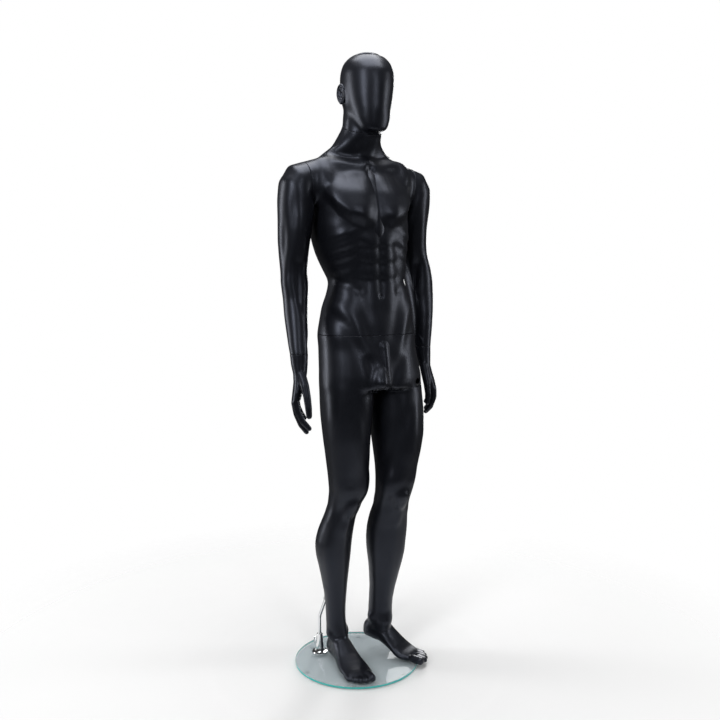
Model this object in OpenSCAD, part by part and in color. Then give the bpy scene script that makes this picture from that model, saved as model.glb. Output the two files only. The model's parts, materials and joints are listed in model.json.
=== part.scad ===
// Full body display mannequin: hollow moulded shells joined by twist-lock fittings, on a glass base.
// Origin at the centre of the base on the floor, +Z up. The figure faces -Y and its right is -X.

/* [Shells] */
// Wall thickness of the moulded shells
wall = 4; // [3:0.5:5]
// Gap left at every parting seam
seam_gap = 0.6; // [0.4:0.1:1]
// Thickness of the end plates bonded into the shells
plate_t = 5; // [4:0.5:7]
// How far an end plate sits back from its seam
plate_set = 1; // [0.6:0.1:2]

/* [Base] */
// Diameter of the glass disc
glass_d = 380; // [360:5:420]
// Thickness of the glass disc
glass_t = 8; // [6:0.5:8]
// Height of the clear feet under the glass
bumper_h = 3; // [3:0.5:5]
// Diameter of one clear foot
bumper_d = 14; // [10:1:18]

/* [Stand rod] */
// Diameter of the support rod
rod_d = 10; // [8:0.5:10]
// Diameter of the flange where it meets the glass
flange_d = 50; // [44:1:50]
// Height of the flange above its gasket
flange_h = 61; // [55:1:65]
// Radial clearance of the rod in its sockets
rod_clear = 0.06; // [0.04:0.01:0.1]

/* [Twist-lock fittings] */
// Radius of a large fitting's turning pin
pin_r = 8; // [7:0.5:9]
// Radius of a wrist fitting's turning pin
wrist_pin_r = 4; // [3.5:0.5:4.5]
// Radial running clearance of every turning pin
pin_clear = 0.06; // [0.04:0.01:0.1]

/* [Hidden] */
$fn = 48;
BODY = "#17181b";
CHROME = "#c9ced3";
STEEL = "#8d9196";
CLEAR = [0.85, 0.9, 0.9, 0.6];
GLASS = [0.75, 0.9, 0.87, 0.45];
half_gap = seam_gap / 2;
glass_top = bumper_h + glass_t;
sole_z = glass_top + 0.8;
bond = 0.4;

// A section is [x, y, z, half width, half depth front, half depth back, squareness, turn X, turn Y].
function turn_x(p, d) = [p[0], p[1] * cos(d) - p[2] * sin(d), p[1] * sin(d) + p[2] * cos(d)];
function turn_y(p, d) = [p[0] * cos(d) + p[2] * sin(d), p[1], p[2] * cos(d) - p[0] * sin(d)];
function placed(s, p) = [s[0], s[1], s[2]] + turn_y(turn_x(p, s[7]), s[8]);
function bow(v, p) = sign(v) * pow(abs(v), 2 / p);
function outline(s, inset, sides) = [
  for (i = [0 : sides - 1])
    let (t = 360 * i / sides, depth = sin(t) > 0 ? s[5] : s[4])
      [(s[3] - inset) * bow(cos(t), s[6]), (depth - inset) * bow(sin(t), s[6])]
];
function ring(s, inset, sides) = [for (p = outline(s, inset, sides)) placed(s, [p[0], p[1], 0])];
// The same section moved along its own normal.
function moved(s, d) =
  let (c = placed(s, [0, 0, d]))
    [c[0], c[1], c[2], s[3], s[4], s[5], s[6], s[7], s[8]];

// Sections with the first and last ones moved, so a cavity runs past its open ends.
function run_past(list, first, last) = [
  for (i = [0 : len(list) - 1])
    i == 0 ? moved(list[i], first) : i == len(list) - 1 ? moved(list[i], last) : list[i]
];
function inner(list, from, to) = [for (i = [from : to]) list[i]];

// One piece of body between two sections.
module link(a, b, inset, sides) {
  points = concat(ring(a, inset, sides), ring(b, inset, sides));
  last = sides - 1;
  faces = concat(
    [[for (k = [0 : last]) k]],
    [[for (k = [0 : last]) sides + last - k]],
    [for (k = [0 : last]) [(k + 1) % sides, k, sides + k, sides + (k + 1) % sides]]
  );
  hull() polyhedron(points, faces);
}

module loft(sections, inset = 0, sides = 24)
  for (i = [0 : len(sections) - 2])
    link(sections[i], sections[i + 1], inset, sides);

// A rounded finger, thumb or toe along a list of [x, y, z, radius].
module digit(beads)
  for (i = [0 : len(beads) - 2])
    hull() {
      translate([beads[i][0], beads[i][1], beads[i][2]]) sphere(r = beads[i][3], $fn = 10);
      translate([beads[i + 1][0], beads[i + 1][1], beads[i + 1][2]]) sphere(r = beads[i + 1][3], $fn = 10);
    }

// Seams: the section at each parting plane, on the side that stays.
NECK = [13, -10, 1619, 56, 57, 60, 2, 19.5, 0];
shoulder_lean = 7;
seam_reach = 800;
bumper_ring_r = glass_d / 2 - 22;
// The room cut under the chin, so that the head turns clear of the neck.
chin_cut_from = 0.1;
chin_cut_reach = 30;
chin_cut_wide = 3;
RIGHT_SHOULDER = [-158, 16, 1460, 62, 54, 52, 2.1, 0, 90 - shoulder_lean];
LEFT_SHOULDER = [180, 16, 1460, 62, 54, 52, 2.1, 0, shoulder_lean - 90];
WAIST = [30, -8, 1025, 153, 100, 103, 2.3, 0, 0];
THIGH = [122, -20, 866, 78, 88, 96, 2.1, 0, 0];
RIGHT_WRIST = [-203, -34, 976, 26, 26, 26, 2, 0, 0];
LEFT_WRIST = [242, 14, 976, 26, 26, 26, 2, 0, 0];

HEAD = [
  [21, -64, 1607, 25, 24, 32, 2.2, 0, 0],
  [21, -58, 1614, 37, 37, 46, 2.2, 0, 0],
  [21, -47, 1634, 48, 54, 64, 2.2, 0, 0],
  [21, -36, 1666, 59, 70, 88, 2.2, 0, 0],
  [22, -30, 1702, 68, 78, 101, 2.1, 0, 0],
  [24, -26, 1742, 74, 84, 104, 2, 0, 0],
  [25, -24, 1778, 74, 82, 100, 2, 0, 0],
  [25, -22, 1805, 66, 68, 87, 2, 0, 0],
  [25, -21, 1824, 47, 48, 61, 2, 0, 0],
  [25, -20, 1835, 18, 18, 23, 2, 0, 0]
];
HEAD_NECK = [
  moved(NECK, half_gap),
  [15, -9, 1650, 56, 56, 61, 2, 0, 0],
  [19, -12, 1685, 57, 56, 64, 2, 0, 0]
];
TORSO = [
  moved(WAIST, half_gap),
  [31, -7, 1060, 148, 99, 101, 2.2, 0, 0],
  [33, -4, 1100, 138, 93, 97, 2.2, 0, 0],
  [35, -2, 1140, 124, 90, 92, 2.1, 0, 0],
  [35, 0, 1180, 116, 90, 92, 2.1, 0, 0],
  [28, 2, 1220, 128, 97, 98, 2.1, 0, 0],
  [20, 3, 1260, 139, 106, 103, 2.1, 0, 0],
  [14, 3, 1300, 145, 115, 108, 2.2, 0, 0],
  [12, 3, 1340, 148, 120, 112, 2.3, 0, 0],
  [11, 4, 1385, 146, 120, 114, 2.3, 0, 0],
  [11, 6, 1430, 142, 110, 112, 2.3, 0, 0],
  [11, 10, 1475, 132, 90, 100, 2.3, 0, 0],
  [11, 14, 1512, 122, 66, 84, 2.2, 0, 0],
  [10, 15, 1536, 120, 48, 72, 2.1, 0, 0],
  [9, 12, 1556, 98, 45, 68, 2, 0, 0],
  [8, 5, 1576, 73, 50, 66, 2, 0, 0],
  moved(NECK, -half_gap)
];
SHOULDERS = [
  moved(RIGHT_SHOULDER, half_gap),
  [-120, 15, 1462, 73, 62, 62, 2.1, 0, 90],
  [-76, 13, 1464, 82, 70, 72, 2.1, 0, 90],
  [11, 10, 1466, 92, 78, 82, 2.1, 0, 90],
  [98, 13, 1464, 82, 70, 72, 2.1, 0, 90],
  [142, 15, 1462, 73, 62, 62, 2.1, 0, 90],
  moved(LEFT_SHOULDER, half_gap)
];
HIPS = [
  moved(WAIST, -half_gap),
  [33, -10, 985, 153, 103, 112, 2.2, 0, 0],
  [36, -14, 940, 157, 107, 121, 2.2, 0, 0],
  [39, -18, 900, 161, 109, 126, 2.2, 0, 0],
  [40, -20, 866, 162, 104, 122, 2.2, 0, 0]
];
RIGHT_LEG = [
  [-42, -20, 880, 78, 88, 98, 2.1, 0, 0],
  [-43, -18, 840, 76, 90, 95, 2.1, 0, 0],
  [-43, -15, 780, 72, 87, 89, 2.1, 0, 0],
  [-40, -12, 720, 67, 82, 83, 2.1, 0, 0],
  [-34, -8, 660, 64, 74, 75, 2.1, 0, 0],
  [-30, -4, 600, 61, 64, 64, 2.1, 0, 0],
  [-32, 0, 545, 53, 60, 56, 2.1, 0, 0],
  [-39, 8, 500, 48, 53, 50, 2.1, 0, 0],
  [-48, 18, 460, 48, 50, 56, 2, 0, 0],
  [-54, 26, 420, 51, 48, 61, 2, 0, 0],
  [-59, 31, 380, 53, 47, 62, 2, 0, 0],
  [-59, 34, 340, 51, 46, 58, 2, 0, 0],
  [-57, 36, 300, 46, 43, 50, 2, 0, 0],
  [-55, 38, 260, 41, 39, 43, 2, 0, 0],
  [-53, 40, 220, 35, 36, 37, 2, 0, 0],
  [-52, 41, 180, 31, 34, 35, 2, 0, 0],
  [-51, 42, 140, 30, 34, 36, 2, 0, 0],
  [-50, 40, 105, 31, 38, 38, 2, 0, 0],
  [-48, 38, 75, 31, 42, 38, 2, 0, 0]
];
LEFT_LEG = [
  moved(THIGH, -half_gap),
  [124, -21, 830, 77, 90, 94, 2.1, 0, 0],
  [125, -24, 780, 76, 91, 90, 2.1, 0, 0],
  [124, -28, 720, 73, 88, 84, 2.1, 0, 0],
  [120, -33, 670, 66, 80, 76, 2.1, 0, 0],
  [114, -38, 620, 58, 68, 66, 2.1, 0, 0],
  [110, -41, 580, 56, 62, 58, 2.1, 0, 0],
  [108, -38, 540, 54, 60, 54, 2.1, 0, 0],
  [108, -26, 500, 53, 56, 55, 2, 0, 0],
  [109, -13, 460, 57, 54, 60, 2, 0, 0],
  [110, -5, 420, 59, 54, 62, 2, 0, 0],
  [109, 0, 380, 58, 53, 61, 2, 0, 0],
  [109, 4, 340, 57, 51, 56, 2, 0, 0],
  [107, 8, 300, 52, 48, 52, 2, 0, 0],
  [104, 12, 260, 46, 44, 48, 2, 0, 0],
  [101, 16, 220, 40, 41, 44, 2, 0, 0],
  [98, 21, 180, 37, 41, 42, 2, 0, 0],
  [96, 23, 145, 37, 44, 43, 2, 0, 0],
  [95, 20, 115, 36, 50, 43, 2, 0, 0],
  [91, 22, 90, 32, 48, 38, 2, 0, 0]
];
// Feet lie along -Y from the back of the heel, in a frame that is turned out and set at the heel.
RIGHT_HEEL = [-45, 82, -2];
LEFT_HEEL = [66, 66, 27];
RIGHT_FOOT = [
  [0, -2, 36, 12, 20, 16, 2.3, 90, 0],
  [0, -10, 39, 24, 27, 28, 2.3, 90, 0],
  [0, -28, 43, 30, 31, 42, 2.3, 90, 0],
  [0, -50, 46, 32, 34, 46, 2.3, 90, 0],
  [0, -78, 44, 33, 32, 42, 2.3, 90, 0],
  [-1, -106, 38, 36, 25, 32, 2.3, 90, 0],
  [-3, -134, 31, 41, 18, 24, 2.3, 90, 0],
  [-4, -160, 27, 45, 15, 18, 2.3, 90, 0],
  [-4, -184, 25, 46, 13, 13, 2.3, 90, 0],
  [-4, -206, 24, 43, 12, 11, 2.3, 90, 0],
  [-3, -222, 22, 34, 9, 9, 2.3, 90, 0]
];
LEFT_FOOT = [
  [0, -2, 74, 12, 20, 18, 2.3, 90, 0],
  [0, -10, 76, 24, 28, 30, 2.3, 90, 0],
  [0, -26, 79, 30, 30, 40, 2.3, 90, 0],
  [0, -46, 79, 32, 33, 46, 2.3, 90, 0],
  [0, -70, 73, 33, 27, 42, 2.3, 90, 0],
  [1, -92, 61, 35, 23, 32, 2.3, 90, 0],
  [3, -114, 47, 39, 19, 22, 2.3, 90, 0],
  [4, -134, 34, 43, 17, 17, 2.3, 90, 0],
  [4, -152, 27, 44, 15, 13, 2.3, 90, 0],
  [4, -169, 24, 41, 12, 11, 2.3, 90, 0],
  [3, -181, 22, 33, 9, 9, 2.3, 90, 0]
];
// Each toe is [x, first y, second y, first radius, second radius] on the right foot.
TOES = [
  [20, -220, -246, 12.5, 11.5],
  [0, -222, -249, 9.5, 9],
  [-16, -218, -242, 9, 8.5],
  [-30, -210, -231, 8.5, 8],
  [-42, -198, -217, 8.5, 8]
];

RIGHT_ARM = [
  moved(RIGHT_SHOULDER, -half_gap),
  [-178, 14, 1454, 62, 57, 56, 2.1, 0, 62],
  [-184, 12, 1430, 58, 57, 57, 2.1, 0, 36],
  [-183, 12, 1400, 54, 55, 56, 2.1, 0, 15],
  [-187, 12, 1365, 50, 53, 54, 2, 0, 0],
  [-190, 14, 1330, 48, 50, 51, 2, 0, 0],
  [-191, 19, 1296, 46, 48, 49, 2, 0, 0],
  [-191, 25, 1250, 42, 45, 46, 2, 0, 0],
  [-192, 29, 1205, 37, 40, 41, 2, 0, 0],
  [-191, 27, 1178, 39, 39, 39, 2, 0, 0],
  [-191, 20, 1130, 36, 38, 38, 2, 0, 0],
  [-194, 8, 1085, 34, 37, 37, 2, 0, 0],
  [-199, -12, 1035, 30, 32, 32, 2, 0, 0],
  [-203, -26, 1000, 27, 28, 28, 2, 0, 0],
  moved(RIGHT_WRIST, half_gap)
];
LEFT_ARM = [
  moved(LEFT_SHOULDER, -half_gap),
  [199, 16, 1454, 62, 57, 56, 2.1, 0, -62],
  [203, 17, 1430, 57, 57, 57, 2.1, 0, -36],
  [201, 21, 1400, 53, 55, 56, 2.1, 0, -15],
  [206, 27, 1365, 49, 53, 54, 2, 0, 0],
  [211, 34, 1330, 47, 50, 51, 2, 0, 0],
  [217, 40, 1296, 45, 48, 49, 2, 0, 0],
  [228, 46, 1250, 43, 46, 47, 2, 0, 0],
  [241, 49, 1205, 43, 43, 43, 2, 0, 0],
  [246, 47, 1178, 44, 42, 42, 2, 0, 0],
  [249, 38, 1130, 40, 40, 40, 2, 0, 0],
  [248, 29, 1085, 35, 38, 38, 2, 0, 0],
  [245, 21, 1035, 31, 33, 33, 2, 0, 0],
  [243, 17, 1000, 28, 29, 29, 2, 0, 0],
  moved(LEFT_WRIST, half_gap)
];
// Hands hang from the wrist seam. They are measured from the wrist's centre, with +X towards the palm's
// side and -Y towards the thumb's side, and both are turned so that the thumb leads.
HAND_TURN = -28;
RIGHT_PALM = [
  [0, 0, -half_gap, 26, 26, 26, 2, 0, 0],
  [1, -1, -30, 24, 26, 26, 2, 0, 0],
  [3, -2, -57, 20, 27, 27, 2, 0, 0],
  [1, -2, -80, 17, 33, 32, 2, 0, 0],
  [-4, -2, -108, 15, 38, 37, 2, 0, 0],
  [-9, -2, -134, 13, 38, 37, 2, 0, 0]
];
RIGHT_FINGERS = [
  [[-9, -28, -136, 11], [-1, -29, -166, 9.5], [12, -29, -192, 8.5], [30, -27, -212, 7]],
  [[-12, -9, -140, 11], [-7, -10, -173, 9.5], [5, -10, -203, 8.5], [21, -9, -225, 7]],
  [[-12, 10, -138, 10.5], [-8, 9, -168, 9], [3, 9, -196, 8], [17, 9, -217, 7]],
  [[-10, 27, -130, 9.5], [-6, 27, -154, 8], [3, 26, -175, 7.5], [13, 25, -190, 6.5]]
];
RIGHT_THUMB = [[6, -16, -54, 14], [18, -34, -88, 13], [25, -42, -118, 11], [29, -46, -148, 10], [31, -46, -173, 8.5]];
LEFT_PALM = [
  [0, 0, -half_gap, 26, 26, 26, 2, 0, 0],
  [-2, -1, -34, 24, 26, 26, 2, 0, 0],
  [-8, -2, -60, 18, 27, 27, 2, 0, 0],
  [-16, -2, -84, 16.5, 33, 32, 2, 0, 0],
  [-25, -2, -108, 15, 38, 37, 2, 0, 0],
  [-32, -2, -131, 13, 38, 37, 2, 0, 0]
];
LEFT_FINGERS = [
  [[-33, -28, -132, 11], [-35, -29, -158, 9], [-26, -29, -182, 8.3], [-14, -27, -199, 7]],
  [[-34, -9, -135, 11], [-36, -10, -164, 9], [-27, -10, -190, 8.3], [-12, -9, -207, 7]],
  [[-33, 10, -133, 10.5], [-35, 9, -160, 8.8], [-26, 9, -184, 8], [-13, 9, -199, 6.8]],
  [[-31, 27, -126, 9.5], [-32, 27, -148, 8], [-24, 26, -167, 7.5], [-14, 25, -180, 6.5]]
];
LEFT_THUMB = [[-3, -16, -54, 14], [-8, -34, -86, 13], [-13, -42, -116, 11], [-16, -46, -146, 9.5], [-14, -46, -172, 8.3]];

// Where each seam's fitting sits, with its +Z towards the piece that turns.
module at(s) translate([s[0], s[1], s[2]]) children();
module at_neck() at(NECK) rotate([NECK[7], 0, 0]) children();
module at_right_shoulder() at(RIGHT_SHOULDER) rotate([0, -90 - shoulder_lean, 0]) children();
module at_left_shoulder() at(LEFT_SHOULDER) rotate([0, 90 + shoulder_lean, 0]) children();
module at_waist() at(WAIST) children();
// The thigh's fitting is the waist's turned over, so that the turning side hangs below.
module at_thigh() at(THIGH) mirror([0, 0, 1]) children();
module at_right_wrist() at(RIGHT_WRIST) rotate([180, 0, 0]) children();
module at_left_wrist() at(LEFT_WRIST) rotate([180, 0, 0]) children();

module ear(side) {
  x = 23 + side * 78;
  loft([
    [x - side * 14, -12, 1714, 28, 15, 18, 2, 0, side * 90],
    [x + side * 6, -7, 1716, 30, 15, 17, 2, 0, side * 90],
    [x + side * 12, -3, 1718, 20, 9, 11, 2, 0, side * 90]
  ], 0, 20);
}

module head_shell()
  color(BODY) difference() {
    union() {
      loft(HEAD);
      loft(HEAD_NECK);
      ear(-1);
      ear(1);
    }
    loft(inner(HEAD, 2, len(HEAD) - 2), wall);
    loft(run_past(HEAD_NECK, -1, 0), wall);
    loft([moved(NECK, chin_cut_from), moved(NECK, -chin_cut_reach)], -chin_cut_wide);
  }

module torso_shell()
  color(BODY) difference() {
    union() {
      loft(TORSO, 0, 28);
      loft(SHOULDERS);
    }
    loft(run_past(TORSO, -1, 1), wall, 28);
    loft(run_past(SHOULDERS, -1, -1), wall);
  }

module toes(inner_side, shift)
  for (t = TOES)
    digit([
      [inner_side * t[0], t[1] + shift, sole_z + t[3], t[3]],
      [inner_side * t[0], t[2] + shift, sole_z + t[4], t[4]]
    ]);

module foot(heel, sections, inner_side, shift)
  translate([heel[0], heel[1], 0]) rotate([0, 0, heel[2]]) {
    loft(sections, 0, 20);
    toes(inner_side, shift);
  }

module foot_cavity(heel, sections)
  translate([heel[0], heel[1], 0]) rotate([0, 0, heel[2]])
    loft(inner(sections, 1, len(sections) - 2), wall, 20);

module below_soles()
  translate([-300, -300, -20]) cube([600, 600, sole_z + 20]);

module hips_right_leg_shell()
  color(BODY) difference() {
    union() {
      loft(HIPS, 0, 28);
      loft(RIGHT_LEG);
      foot(RIGHT_HEEL, RIGHT_FOOT, 1, 0);
      digit([[17, -102, 914, 28], [16, -116, 892, 25]]);
    }
    loft(run_past(HIPS, 1, plate_t), wall, 28);
    loft(RIGHT_LEG, wall);
    loft([moved(THIGH, -1), moved(THIGH, 20)], wall);
    foot_cavity(RIGHT_HEEL, RIGHT_FOOT);
    below_soles();
    rod_hole();
  }

module left_leg_shell()
  color(BODY) difference() {
    union() {
      loft(LEFT_LEG);
      foot(LEFT_HEEL, LEFT_FOOT, -1, 26);
    }
    loft(run_past(LEFT_LEG, 1, 0), wall);
    foot_cavity(LEFT_HEEL, LEFT_FOOT);
    below_soles();
  }

// The far side of a shoulder's seam plane, from a distance past it. Children are turned to that seam.
module past_seam(distance)
  translate([-seam_reach, -seam_reach, distance]) cube([2 * seam_reach, 2 * seam_reach, seam_reach]);

// An arm is cut flat by its seam plane; its cavity opens there only through the seam's own section.
module arm_shell(sections, seam, side)
  color(BODY) difference() {
    intersection() {
      loft(sections);
      at(seam) rotate([0, side * (90 + shoulder_lean), 0]) past_seam(half_gap);
    }
    intersection() {
      loft(run_past(sections, 0, -1), wall);
      at(seam) rotate([0, side * (90 + shoulder_lean), 0]) past_seam(half_gap + wall);
    }
    loft([moved(seam, 1), moved(seam, -wall - 2)], wall);
  }

module right_arm_shell() arm_shell(RIGHT_ARM, RIGHT_SHOULDER, -1);
module left_arm_shell() arm_shell(LEFT_ARM, LEFT_SHOULDER, 1);

module hand(palm, fingers, thumb)
  difference() {
    union() {
      loft(palm);
      for (f = fingers) digit(f);
      digit(thumb);
    }
    loft(run_past(inner(palm, 0, len(palm) - 2), 1, 0), wall);
  }

module right_hand()
  color(BODY) at(RIGHT_WRIST) rotate([0, 0, HAND_TURN]) hand(RIGHT_PALM, RIGHT_FINGERS, RIGHT_THUMB);

// The left hand is the same hand mirrored, with both thumbs leading.
module left_hand()
  color(BODY) at(LEFT_WRIST) rotate([0, 0, HAND_TURN]) mirror([1, 0, 0]) hand(LEFT_PALM, LEFT_FINGERS, LEFT_THUMB);

// Sizes of a fitting: [pin radius, socket radius, flange radius, screw circle radius, screw radius].
BIG = [pin_r, 14, 26, 20, 2];
SMALL = [wrist_pin_r, 7.5, 15, 11.2, 1.3];
flange_t = 3;
bar_t = 4;
socket_depth = plate_set + plate_t + flange_t;

// A bonded end plate. side is 1 on the piece that turns and -1 on the piece that stays.
module end_plate(s, f, side) {
  low = side > 0 ? half_gap + plate_set : -half_gap - plate_set - plate_t;
  color(BODY) difference() {
    translate([0, 0, low]) linear_extrude(plate_t) polygon(outline(s, wall - bond, 24));
    translate([0, 0, low - 1]) cylinder(r = side > 0 ? f[0] + 1 : f[1] + 0.05, h = plate_t + 2);
    screw_ring(f) translate([0, 0, low - 1]) cylinder(r = f[4] + 0.05, h = plate_t + 2);
  }
}

module screw_ring(f)
  for (i = [0 : 2])
    rotate([0, 0, 90 + 120 * i]) translate([f[3], 0, 0]) children();

// A flanged bush in the piece that stays, with the keyway that the spigot's bar passes through.
module socket(f) {
  low = -half_gap - plate_set - plate_t;
  color(STEEL) difference() {
    union() {
      translate([0, 0, low]) cylinder(r = f[1], h = plate_t);
      translate([0, 0, low - flange_t]) cylinder(r = f[2], h = flange_t);
    }
    translate([0, 0, low - flange_t - 1]) cylinder(r = f[0] + pin_clear, h = plate_t + flange_t + 2);
    translate([-f[1] + 2, -f[0] / 3, low - flange_t - 1]) cube([2 * f[1] - 4, f[0] / 1.5, plate_t + flange_t + 2]);
    screw_ring(f) translate([0, 0, low - flange_t - 1]) cylinder(r = f[4] + 0.1, h = flange_t + 2);
  }
}

// A flanged pin in the piece that turns, with its bar locked a quarter turn past the keyway.
module spigot(f) {
  back = half_gap + plate_set + plate_t;
  bar_z = -half_gap - socket_depth - 0.4 - bar_t;
  color(STEEL) difference() {
    union() {
      translate([0, 0, bar_z]) cylinder(r = f[0], h = back - bar_z + flange_t);
      translate([0, 0, back]) cylinder(r = f[2], h = flange_t);
      translate([-f[0] / 3 + 0.3, -f[1] + 2.5, bar_z]) cube([f[0] / 1.5 - 0.6, 2 * f[1] - 5, bar_t]);
    }
    screw_ring(f) translate([0, 0, back - 1]) cylinder(r = f[4] + 0.1, h = flange_t + 2);
  }
}

// Pan-head screws that hold a socket (side -1) or a spigot (side 1) to its end plate.
module fitting_screws(f, side)
  color(STEEL)
    screw_ring(f)
      mirror([0, 0, side > 0 ? 0 : 1])
        rotate_extrude()
          polygon([
            [0, half_gap + plate_set + 0.5],
            [f[4], half_gap + plate_set + 0.5],
            [f[4], half_gap + plate_set + plate_t + flange_t],
            [1.8 * f[4], half_gap + plate_set + plate_t + flange_t],
            [1.8 * f[4], half_gap + plate_set + plate_t + flange_t + 0.7 * f[4]],
            [1.2 * f[4], half_gap + plate_set + plate_t + flange_t + 1.2 * f[4]],
            [0, half_gap + plate_set + plate_t + flange_t + 1.2 * f[4]]
          ]);

module head_neck_plate() at_neck() end_plate(NECK, BIG, 1);
module torso_neck_plate() at_neck() end_plate(NECK, BIG, -1);
module torso_right_shoulder_plate() at_right_shoulder() end_plate(RIGHT_SHOULDER, BIG, -1);
module torso_left_shoulder_plate() at_left_shoulder() end_plate(LEFT_SHOULDER, BIG, -1);
module right_arm_shoulder_plate() at_right_shoulder() end_plate(RIGHT_SHOULDER, BIG, 1);
module left_arm_shoulder_plate() at_left_shoulder() end_plate(LEFT_SHOULDER, BIG, 1);
module right_arm_wrist_plate() at_right_wrist() end_plate(RIGHT_WRIST, SMALL, -1);
module left_arm_wrist_plate() at_left_wrist() end_plate(LEFT_WRIST, SMALL, -1);
module torso_waist_plate() at_waist() end_plate(WAIST, BIG, 1);
module hips_waist_plate() at_waist() end_plate(WAIST, BIG, -1);
module hips_thigh_plate() at_thigh() end_plate(THIGH, BIG, -1);
module left_leg_thigh_plate() at_thigh() end_plate(THIGH, BIG, 1);

module neck_socket() at_neck() socket(BIG);
module neck_spigot() at_neck() spigot(BIG);
module right_shoulder_socket() at_right_shoulder() socket(BIG);
module right_shoulder_spigot() at_right_shoulder() spigot(BIG);
module left_shoulder_socket() at_left_shoulder() socket(BIG);
module left_shoulder_spigot() at_left_shoulder() spigot(BIG);
module right_wrist_socket() at_right_wrist() socket(SMALL);
module right_wrist_spigot() at_right_wrist() spigot(SMALL);
module left_wrist_socket() at_left_wrist() socket(SMALL);
module left_wrist_spigot() at_left_wrist() spigot(SMALL);
module waist_socket() at_waist() socket(BIG);
module waist_spigot() at_waist() spigot(BIG);
module thigh_socket() at_thigh() socket(BIG);
module thigh_spigot() at_thigh() spigot(BIG);

module head_screws() at_neck() fitting_screws(BIG, 1);
module torso_screws() {
  at_neck() fitting_screws(BIG, -1);
  at_right_shoulder() fitting_screws(BIG, -1);
  at_left_shoulder() fitting_screws(BIG, -1);
  at_waist() fitting_screws(BIG, 1);
}
module hips_screws() {
  at_waist() fitting_screws(BIG, -1);
  at_thigh() fitting_screws(BIG, -1);
}
module left_leg_screws() at_thigh() fitting_screws(BIG, 1);
module right_arm_screws() {
  at_right_shoulder() fitting_screws(BIG, 1);
  at_right_wrist() fitting_screws(SMALL, -1);
}
module left_arm_screws() {
  at_left_shoulder() fitting_screws(BIG, 1);
  at_left_wrist() fitting_screws(SMALL, -1);
}
module right_hand_screws() at_right_wrist() fitting_screws(SMALL, 1);
module left_hand_screws() at_left_wrist() fitting_screws(SMALL, 1);

// The stand. The rod rises straight from the flange, bends, and leans into the back of the right calf.
FLANGE_X = -85;
FLANGE_Y = 87;
rod_r = rod_d / 2;
gasket_t = 0.8;
flange_z = glass_top + gasket_t;
bore_z = flange_z + 16;
bend_z = 122;
bend_r = 45;
lean = 21;
lean_turn = -60;
calf_depth = 95;
bend_rise = bend_r * sin(lean);
bend_run = bend_r * (1 - cos(lean));
socket_from = 55;
bend_lap = 1;
bend_swell = 0.03;
screw_z = flange_z + 40;
screw_turn = -28;

// The frame of the rod's leaning length: origin where the bend ends, +Z up the rod.
module along_lean()
  translate([FLANGE_X, FLANGE_Y, bend_z + bend_rise])
    rotate([0, 0, lean_turn])
      translate([bend_run, 0, 0])
        rotate([0, lean, 0])
          children();

// The bend is a hair thicker than the straight lengths, which end inside it.
module support_rod()
  color(CHROME) {
    translate([FLANGE_X, FLANGE_Y, bore_z + 0.3]) cylinder(r = rod_r, h = bend_z - bore_z - 0.3 + bend_lap);
    translate([FLANGE_X, FLANGE_Y, bend_z])
      rotate([0, 0, lean_turn])
        translate([bend_r, 0, 0])
          rotate([90, 0, 180])
            rotate_extrude(angle = lean)
              translate([bend_r, 0]) circle(r = rod_r + bend_swell);
    along_lean() translate([0, 0, -bend_lap]) cylinder(r = rod_r, h = socket_from + calf_depth + bend_lap);
  }

module rod_hole()
  along_lean() translate([0, 0, 10]) cylinder(r = rod_r + 2.2, h = socket_from + 40);

module calf_socket()
  color(STEEL)
    along_lean() difference() {
      translate([0, 0, socket_from]) cylinder(r = rod_r + 2, h = calf_depth + 4);
      translate([0, 0, socket_from - 1]) cylinder(r = rod_r + rod_clear, h = calf_depth + 1.3);
    }

module base_flange()
  color(CHROME) translate([FLANGE_X, FLANGE_Y, 0]) difference() {
    rotate_extrude()
      polygon([
        [0, flange_z],
        [flange_d / 2 - 0.8, flange_z],
        [flange_d / 2, flange_z + 0.8],
        [flange_d / 2, flange_z + 3.5],
        [flange_d / 2 - 1.5, flange_z + 5],
        [17.5, flange_z + 6.5],
        [15, flange_z + 8.5],
        [13.2, flange_z + 14],
        [9.5, flange_z + flange_h - 1],
        [8.5, flange_z + flange_h],
        [0, flange_z + flange_h]
      ]);
    translate([0, 0, bore_z]) cylinder(r = rod_r + rod_clear, h = flange_h);
    translate([0, 0, flange_z - 1]) cylinder(r = 3.05, h = 12);
    translate([0, 0, screw_z]) rotate([0, -90, screw_turn]) cylinder(r = 2.55, h = 20);
  }

// The thumbscrew's axis is level, and points away from the figure.
module thumbscrew()
  color(CHROME)
    translate([FLANGE_X, FLANGE_Y, screw_z]) rotate([0, -90, screw_turn]) {
      translate([0, 0, rod_r + 0.15]) cylinder(r = 2.5, h = 12);
      translate([0, 0, 13.5]) cylinder(r = 4.5, h = 6);
      difference() {
        translate([0, 0, 16.6]) linear_extrude(3.2, center = true) {
          hull() {
            translate([7.5, 0]) circle(r = 4.2);
            translate([-7.5, 0]) circle(r = 4.2);
          }
        }
        for (s = [-1, 1])
          translate([s * 7.5, 0, 12]) cylinder(r = 1.2, h = 10);
      }
    }

module flange_gasket()
  color(CLEAR) translate([FLANGE_X, FLANGE_Y, glass_top]) difference() {
    cylinder(r = flange_d / 2 - 1, h = gasket_t);
    translate([0, 0, -1]) cylinder(r = 4.2, h = gasket_t + 2);
  }

module flange_screw()
  color(STEEL) translate([FLANGE_X, FLANGE_Y, 0])
    rotate_extrude()
      polygon([
        [0, 0.6],
        [6, 0.6],
        [6.5, 1.1],
        [6.5, 2.2],
        [3, 2.2],
        [3, flange_z + 10],
        [0, flange_z + 10]
      ]);

module screw_washer()
  color(CLEAR) translate([FLANGE_X, FLANGE_Y, 2.2]) difference() {
    cylinder(r = 9, h = bumper_h - 2.2);
    translate([0, 0, -1]) cylinder(r = 3.2, h = 4);
  }

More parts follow.
